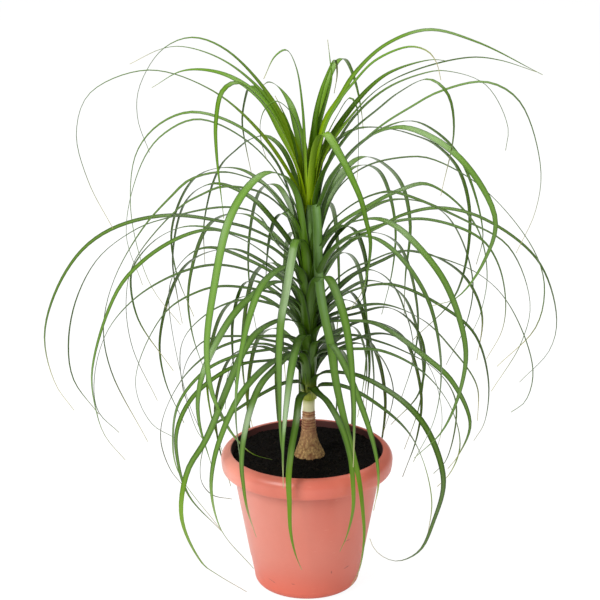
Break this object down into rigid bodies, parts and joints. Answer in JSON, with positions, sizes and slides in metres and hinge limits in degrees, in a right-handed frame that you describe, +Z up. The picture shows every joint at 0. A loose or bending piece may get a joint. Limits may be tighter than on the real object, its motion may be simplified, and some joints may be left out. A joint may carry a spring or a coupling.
{
  "type": "potted ponytail palm",
  "caption": "Young ponytail palm with a swollen corky trunk foot and long arching strap leaves, in a round tapered terracotta-coloured plastic pot with a deep rim.",
  "frame": {"origin": "centre of the pot's flat foot, on the surface it stands on", "axes": "+Z up along the pot's axis, +X to the right and +Y away from the viewer who faces the plant's front"},
  "size_m": [0.5544, 0.445, 0.6298],
  "materials": {
    "pot_plastic": "satin",
    "potting_soil": "matte",
    "corky_bark": "matte",
    "grown_leaf": "satin",
    "young_leaf": "satin"
  },
  "bodies": {
    "root": {"pot": "pot_plastic", "soil": "potting_soil", "trunk": "corky_bark", "leafy_stem": "grown_leaf", "crown_leaves": "young_leaf"}
  },
  "joints": []
}
